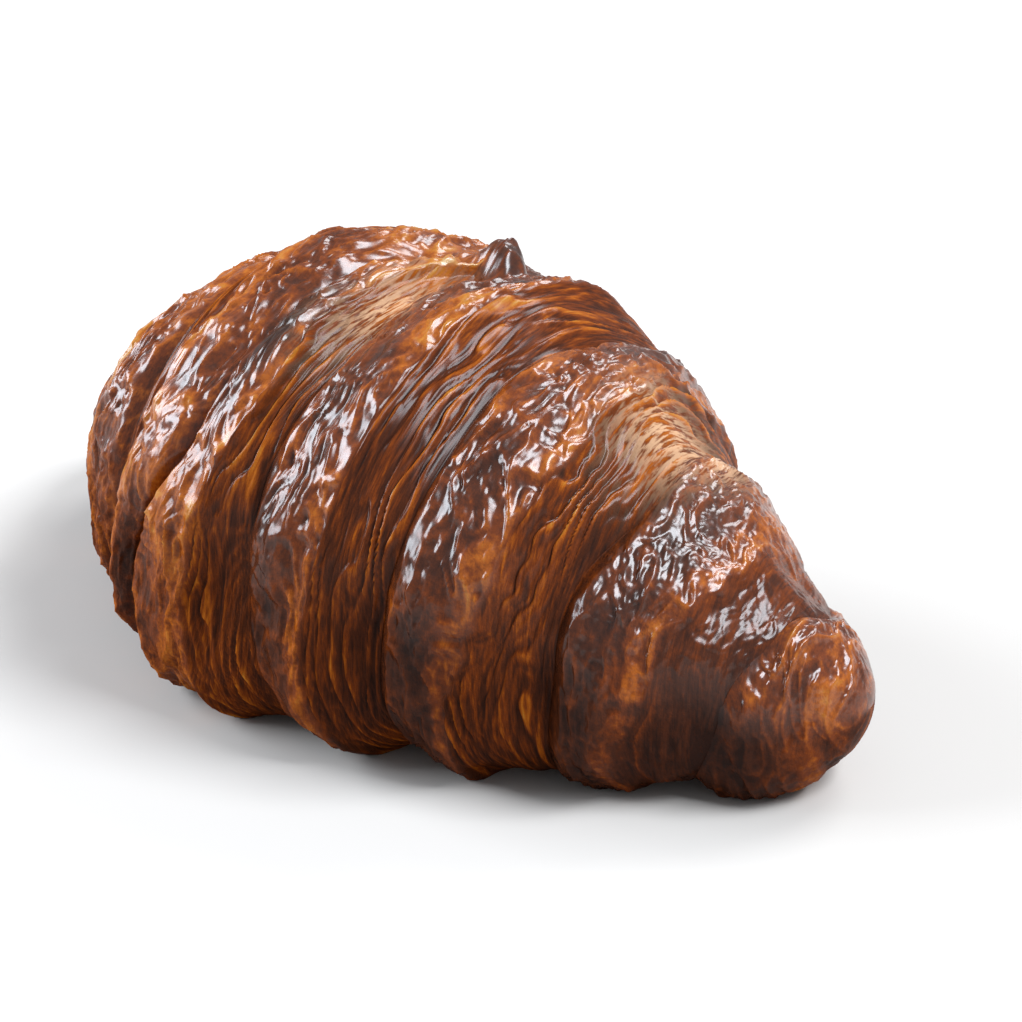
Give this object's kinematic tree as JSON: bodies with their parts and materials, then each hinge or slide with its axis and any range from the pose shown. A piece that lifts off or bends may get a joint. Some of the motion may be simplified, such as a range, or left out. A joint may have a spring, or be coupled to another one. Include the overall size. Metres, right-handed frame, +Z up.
{
  "type": "croissant",
  "caption": "Baked butter croissant: a bent, tapering roll of layered dough with stepped turns, glossy crust and blunt horns, resting on its base.",
  "frame": {"origin": "centre of the bounding box in plan, on the surface that the croissant rests on", "axes": "+Z up, X along the croissant from the hidden horn to the near horn, and the horns bend towards +Y"},
  "size_m": [0.1476, 0.083, 0.0619],
  "materials": {
    "crust": "egg-washed crust, glossy and blistered"
  },
  "bodies": {
    "root": {"croissant": "crust"}
  },
  "joints": []
}
